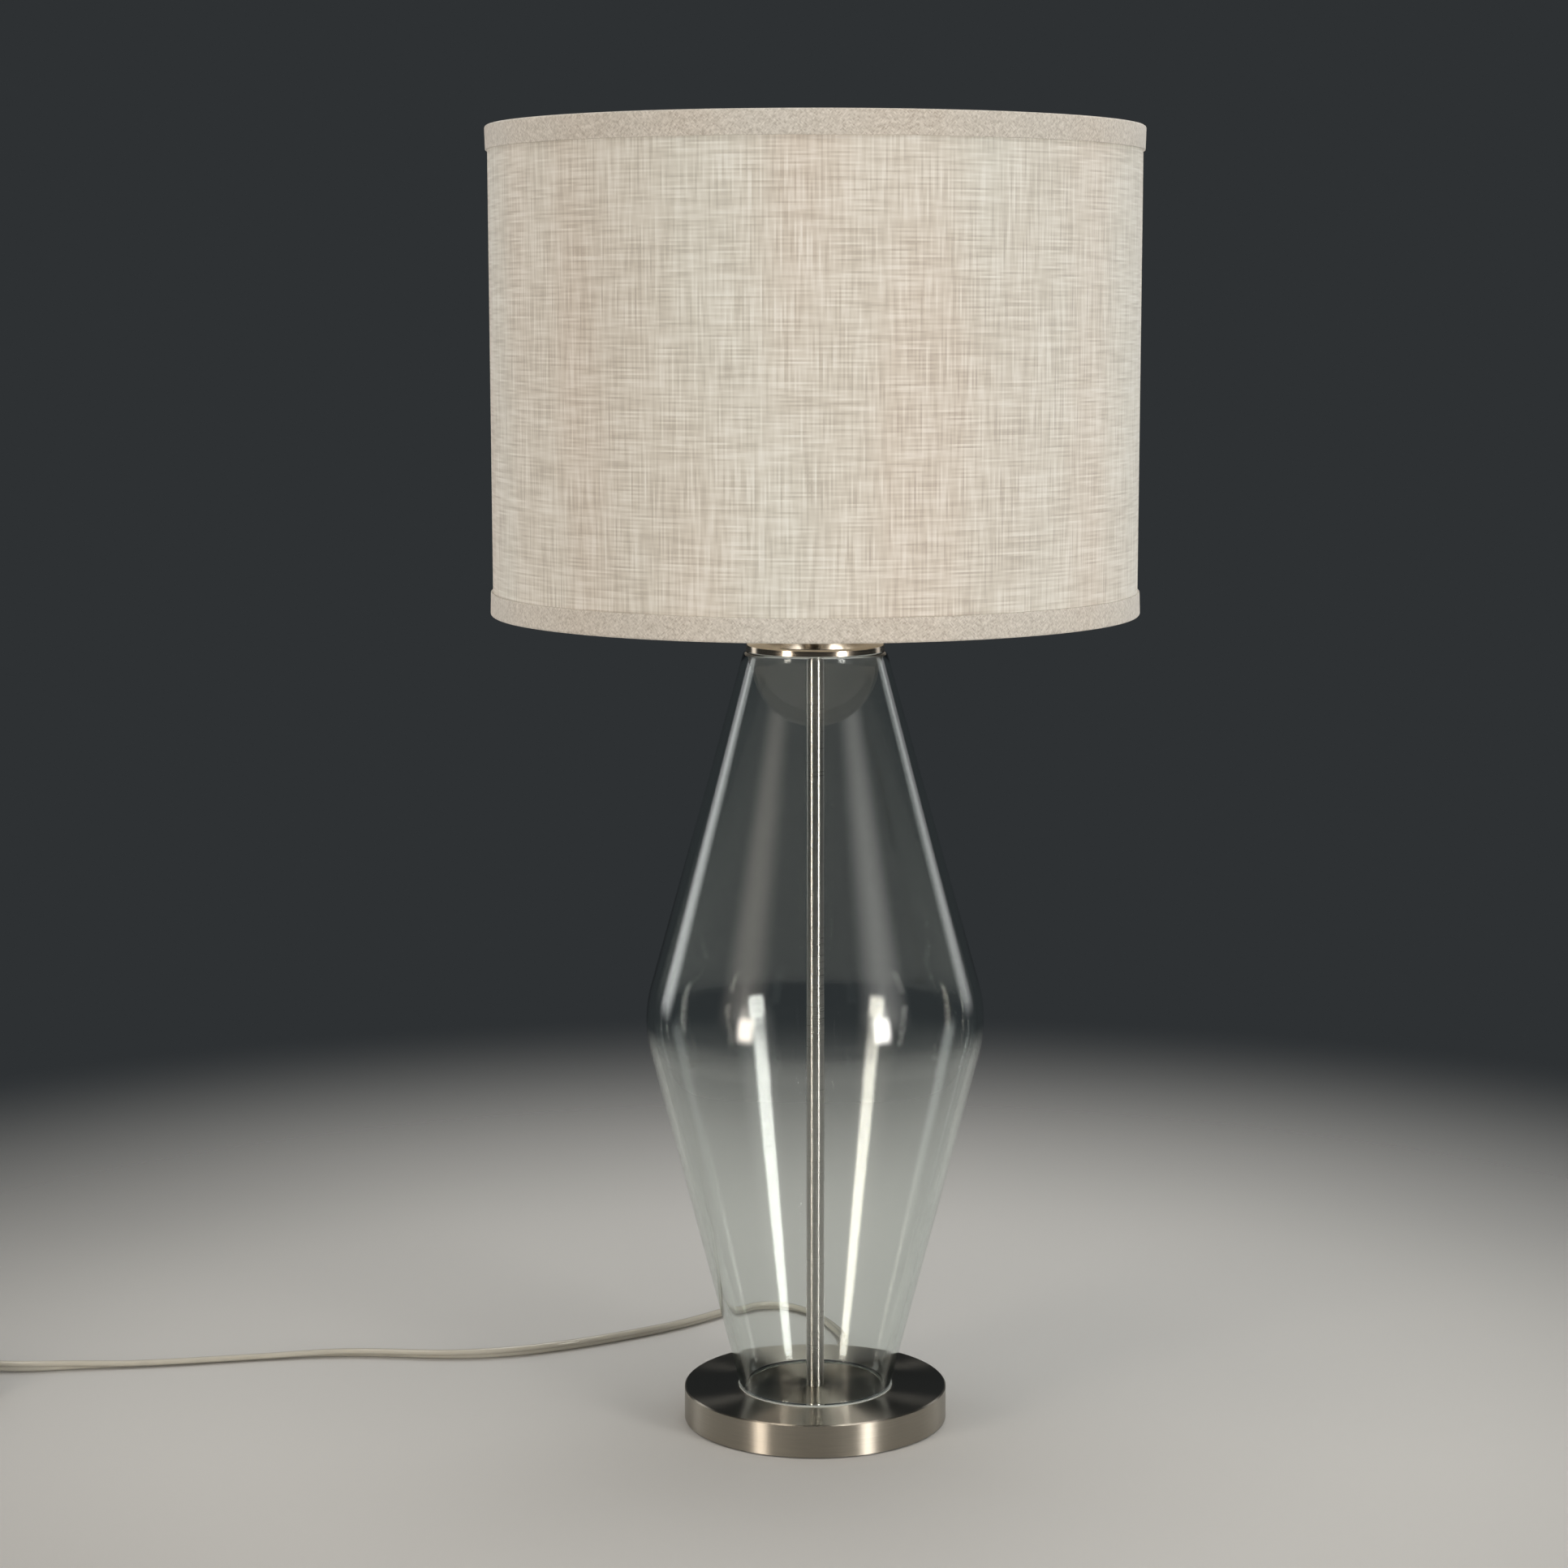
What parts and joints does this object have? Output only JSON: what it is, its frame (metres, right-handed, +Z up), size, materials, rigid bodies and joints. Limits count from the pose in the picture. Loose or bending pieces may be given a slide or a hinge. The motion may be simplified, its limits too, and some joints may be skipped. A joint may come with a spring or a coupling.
{
  "type": "table lamp",
  "caption": "Table lamp: double-cone clear glass body on a round weighted metal disc, centre tube, linen drum shade on a harp, turn-key lampholder, flat clear cord with plug.",
  "frame": {"origin": "middle of the foot, on the surface that the lamp stands on", "axes": "+Z up along the centre tube, -Y towards the front, the cord leaves near +Y"},
  "size_m": [0.7615, 0.384, 0.7213],
  "materials": {
    "foam_pad": "closed-cell foam, matt black",
    "brushed_nickel": "satin nickel on steel, fine circular brushing",
    "cast_iron": "as cast, grey",
    "zinc_steel": "zinc plated",
    "polished_steel": "bright nickel plated tube",
    "clear_vinyl": "clear soft vinyl",
    "clear_glass": "clear blown glass with a faint green tint",
    "nickel_plate": "nickel plated, satin",
    "fibre_sleeve": "vulcanised fibre board",
    "phenolic": "moulded phenolic, dark brown",
    "brass": "plain brass",
    "aluminium": "drawn aluminium",
    "black_plastic": "moulded, black",
    "copper_wire": "insulated conductor, silver-clear",
    "solder_tin": "tinned contact",
    "black_glass": "black vitrified insulator",
    "frosted_glass": "frosted white glass",
    "linen": "natural linen weave, cross-hatched and slubby",
    "shade_liner": "white styrene backing",
    "linen_tape": "folded linen tape, bias cut",
    "white_wire": "white painted steel wire",
    "clear_bushing": "clear moulded vinyl",
    "clear_cord": "clear vinyl over tinned strands",
    "tie": "white plastic-covered wire tie",
    "clear_plug": "clear moulded vinyl, flat",
    "plated_blade": "nickel plated brass"
  },
  "bodies": {
    "lamp": {"base_pad": "foam_pad", "base_cover": "brushed_nickel", "base_weight": "cast_iron", "base_washer": "zinc_steel", "base_lock_washer": "zinc_steel", "base_nut": "zinc_steel", "lamp_tube": "polished_steel", "glass_lower_gasket": "clear_vinyl", "glass_body": "clear_glass", "glass_upper_gasket": "clear_vinyl", "vase_cap": "brushed_nickel", "harp_saddle": "nickel_plate", "tube_ring_nut": "nickel_plate", "harp_frame": "nickel_plate", "harp_stud": "nickel_plate", "holder_cap": "nickel_plate", "holder_set_screw": "zinc_steel", "holder_shell": "nickel_plate", "holder_liner": "fibre_sleeve", "switch_body": "phenolic", "terminal_screws": "brass", "screw_shell": "aluminium", "centre_contact": "brass", "supply_wires": "copper_wire", "cord_bushing": "clear_bushing", "cord_inside": "clear_cord", "cord_free": "clear_cord", "cord_coil": "clear_cord", "coil_tie": "tie", "cord_tail": "clear_cord", "plug_body": "clear_plug", "plug_blades": "plated_blade"},
    "shade": {"shade_linen": "linen", "shade_liner": "shade_liner", "shade_top_trim": "linen_tape", "shade_bottom_trim": "linen_tape", "shade_top_ring": "white_wire", "shade_bottom_ring": "white_wire", "spider_hub": "nickel_plate", "spider_arms": "white_wire"},
    "finial": {"finial": "brushed_nickel"},
    "switch_key": {"key_stem": "brass", "key_knob": "black_plastic"},
    "sleeve_left": {"harp_sleeve_left": "nickel_plate"},
    "sleeve_right": {"harp_sleeve_right": "nickel_plate"},
    "bulb": {"bulb_contact": "solder_tin", "bulb_insulator": "black_glass", "bulb_cap": "aluminium", "bulb_globe": "frosted_glass"}
  },
  "joints": [
    {"name": "switch_key_turn", "type": "hinge", "parent": "lamp", "child": "switch_key", "pos_m": [0, -0.025, 0.4802], "axis": [0, -1, 0], "continuous": true},
    {"name": "shade_turn", "type": "hinge", "parent": "lamp", "child": "shade", "pos_m": [0, 0, 0.6935], "axis": [0, 0, 1], "continuous": true},
    {"name": "finial_turn", "type": "hinge", "parent": "lamp", "child": "finial", "pos_m": [0, 0, 0.7], "axis": [0, 0, 1], "continuous": true},
    {"name": "bulb_turn", "type": "hinge", "parent": "lamp", "child": "bulb", "pos_m": [0, 0, 0.5], "axis": [0, 0, 1], "continuous": true},
    {"name": "sleeve_left_lift", "type": "slide", "parent": "lamp", "child": "sleeve_left", "axis": [0, 0, 1], "range_m": [0, 0.014]},
    {"name": "sleeve_right_lift", "type": "slide", "parent": "lamp", "child": "sleeve_right", "axis": [0, 0, 1], "range_m": [0, 0.014]}
  ]
}
